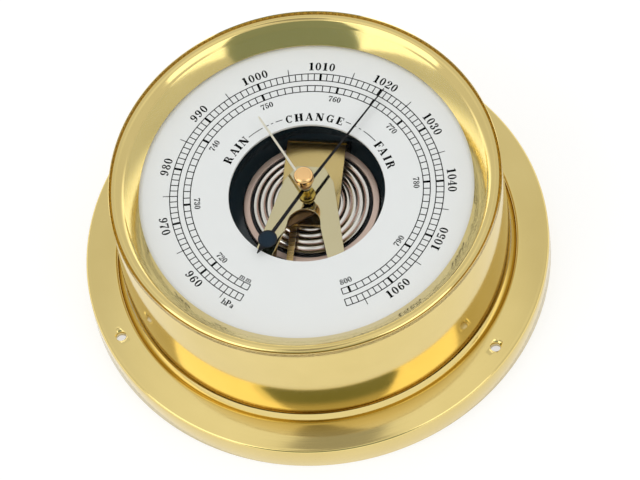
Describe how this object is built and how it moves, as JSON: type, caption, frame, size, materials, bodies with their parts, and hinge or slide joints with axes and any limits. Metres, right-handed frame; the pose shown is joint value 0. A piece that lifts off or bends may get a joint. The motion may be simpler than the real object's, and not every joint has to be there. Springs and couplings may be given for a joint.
{
  "type": "aneroid barometer",
  "caption": "Aneroid barometer in a polished brass drum case with a mounting flange, white ring dial, open movement, pointer and set hand.",
  "frame": {"origin": "centre of the mounting flange's underside, in the plane that rests on a wall or table", "axes": "+Z along the case's axis towards the glass, +Y towards 12 o'clock on the dial, +X towards 3 o'clock"},
  "size_m": [0.15, 0.15, 0.0571],
  "materials": {
    "polished_brass": "mirror-polished lacquered brass",
    "movement_brass": "machined brass, satin",
    "champagne_nickel": "pale nickel-washed brass, mirror bright",
    "spring_gold": "gilded spring steel, bright satin",
    "rim_copper": "copper-plated pressed rim",
    "knob_copper": "turned copper-coloured brass",
    "silvered_sheet": "silvered pressed sheet with rings",
    "bright_steel": "bright steel",
    "blued_steel": "dark blued steel",
    "dial_white": "matt white enamelled metal",
    "black_lacquer": "black satin lacquer on metal",
    "black_plastic": "black moulded plastic",
    "clear_glass": "clear domed glass"
  },
  "bodies": {
    "case": {"mounting_flange": "polished_brass", "flange_rim": "polished_brass", "case_drum": "polished_brass", "back_seat_ring": "polished_brass", "bezel_ring": "polished_brass", "sight_ring": "polished_brass", "back_cover": "polished_brass", "base_spacer_1": "movement_brass", "base_spacer_2": "movement_brass", "base_spacer_3": "movement_brass", "plate_pillar_1": "movement_brass", "plate_pillar_2": "movement_brass", "spring_bracket": "movement_brass", "arbor_cock": "movement_brass", "staff_cock": "movement_brass", "hairspring_stud": "movement_brass", "top_plate": "champagne_nickel", "capsule_rim": "rim_copper", "capsule_lower": "silvered_sheet", "capsule_upper": "silvered_sheet", "back_cover_screw_1": "bright_steel", "back_cover_screw_2": "bright_steel", "back_cover_screw_3": "bright_steel", "movement_screw_1": "bright_steel", "movement_screw_2": "bright_steel", "movement_screw_3": "bright_steel", "pillar_screw_1": "bright_steel", "pillar_screw_2": "bright_steel", "bracket_screw_1": "bright_steel", "bracket_screw_2": "bright_steel", "bracket_screw_3": "bright_steel", "rocker_bracket": "bright_steel", "capsule_stud": "bright_steel", "hairspring": "bright_steel", "dial_plate": "dial_white", "capsule_surround": "black_plastic", "movement_base": "black_lacquer", "dial_seat_ring": "black_lacquer", "crystal": "clear_glass"},
    "pointer_assembly": {"pointer_arbor": "bright_steel", "pinion": "movement_brass", "pointer_collet": "polished_brass", "pointer": "blued_steel", "pointer_cap": "polished_brass"},
    "sector": {"sector_gear": "movement_brass", "sector_staff": "bright_steel"},
    "rocker": {"rocking_arbor": "bright_steel"},
    "mainspring": {"spring_bridge": "spring_gold", "main_lever": "movement_brass", "lever_rivet_1": "movement_brass", "lever_rivet_2": "movement_brass", "link_rod": "movement_brass"},
    "capsule_centre": {"capsule_post": "bright_steel"},
    "set_hand_assembly": {"set_hand": "spring_gold", "set_shaft": "knob_copper", "set_knob": "knob_copper"},
    "adjuster": {"adjusting_screw": "bright_steel"}
  },
  "joints": [
    {"name": "pointer_spin", "type": "hinge", "parent": "case", "child": "pointer_assembly", "pos_m": [0, 0, 0.043], "axis": [0, 0, 1], "range_deg": [-128.3, 186]},
    {"name": "sector_swing", "type": "hinge", "parent": "case", "child": "sector", "pos_m": [-0.0086, -0.01105, 0.0412], "axis": [0, 0, 1], "range_deg": [-26.6, 18.4]},
    {"name": "rocker_tilt", "type": "hinge", "parent": "case", "child": "rocker", "pos_m": [-0.0099, -0.03, 0.018], "axis": [0, 1, 0], "range_deg": [-22.1, 15.3]},
    {"name": "mainspring_flex", "type": "hinge", "parent": "case", "child": "mainspring", "pos_m": [0, 0.02655, 0.0303], "axis": [1, 0, 0], "range_deg": [-2.1, 1.5]},
    {"name": "capsule_travel", "type": "slide", "parent": "case", "child": "capsule_centre", "axis": [0, 0, 1], "range_m": [-0.00058, 0.00084], "deforming": ["capsule_upper"]},
    {"name": "set_hand_turn", "type": "hinge", "parent": "case", "child": "set_hand_assembly", "pos_m": [0, 0, 0.0535], "axis": [0, 0, 1], "continuous": true},
    {"name": "adjusting_turn", "type": "hinge", "parent": "case", "child": "adjuster", "pos_m": [0, 0.0035, 0.001], "axis": [0, 0, 1], "range_deg": [-540, 540]}
  ],
  "couplings": [
    {"joint": "sector_swing", "follows": "pointer_spin", "ratio": -0.14286},
    {"joint": "rocker_tilt", "follows": "pointer_spin", "ratio": -0.1183},
    {"joint": "mainspring_flex", "follows": "pointer_spin", "ratio": -0.01107},
    {"joint": "capsule_travel", "follows": "pointer_spin", "m_per_rad": 0.0002547}
  ]
}
